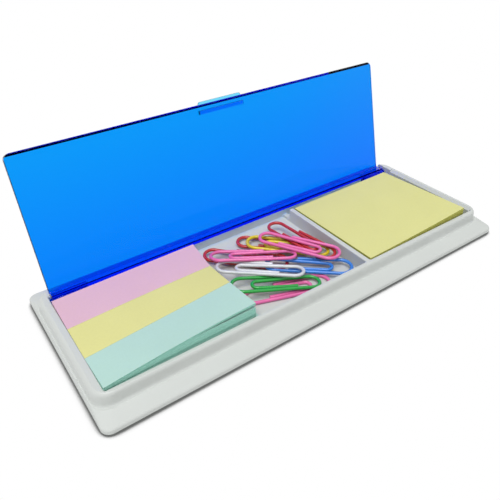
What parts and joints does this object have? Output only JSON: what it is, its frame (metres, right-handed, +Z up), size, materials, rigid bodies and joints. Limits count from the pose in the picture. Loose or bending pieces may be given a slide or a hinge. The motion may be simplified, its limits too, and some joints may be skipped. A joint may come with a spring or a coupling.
{
  "type": "memo box with hinged lid",
  "caption": "Flat white desk memo box with a clear blue lid hinged at the back, holding coloured page flags, coated paper clips and a yellow memo pad in separate compartments.",
  "frame": {"origin": "middle of the tray's resting face on the desk", "axes": "+X along the length, +Y to the hinge side at the back, +Z up"},
  "size_m": [0.16, 0.069, 0.0521],
  "materials": {
    "tray_white": "satin moulded",
    "lid_blue": "clear tinted gloss",
    "card_white": "matte",
    "paper_mint": "matte",
    "paper_lemon": "matte",
    "paper_pink": "matte",
    "paper_pad": "matte",
    "clip_red": "vinyl coated",
    "clip_yellow": "vinyl coated",
    "clip_pink": "vinyl coated",
    "clip_white": "vinyl coated",
    "clip_blue": "vinyl coated",
    "clip_green": "vinyl coated"
  },
  "bodies": {
    "base": {"tray": "tray_white", "flag_backing_card": "card_white", "mint_flag_stack": "paper_mint", "mint_flag_lifted": "paper_mint", "mint_flag_loose": "paper_mint", "yellow_flag_stack": "paper_lemon", "yellow_flag_lifted": "paper_lemon", "pink_flag_stack": "paper_pink", "pink_flag_lifted": "paper_pink", "memo_pad_backing": "card_white", "memo_pad_stack": "paper_pad", "memo_pad_lifted": "paper_pad", "clip_red_a": "clip_red", "clip_red_b": "clip_red", "clip_red_c": "clip_red", "clip_yellow": "clip_yellow", "clip_pink_a": "clip_pink", "clip_pink_b": "clip_pink", "clip_pink_c": "clip_pink", "clip_white": "clip_white", "clip_blue": "clip_blue", "clip_green": "clip_green"},
    "lid": {"lid": "lid_blue"}
  },
  "joints": [
    {"name": "lid_hinge", "type": "hinge", "parent": "base", "child": "lid", "pos_m": [0, 0.0203, 0.00533], "axis": [1, 0, 0], "range_deg": [0, 103.5], "deforming": ["mint_flag_lifted", "mint_flag_loose", "yellow_flag_lifted", "pink_flag_lifted", "memo_pad_lifted"]}
  ]
}
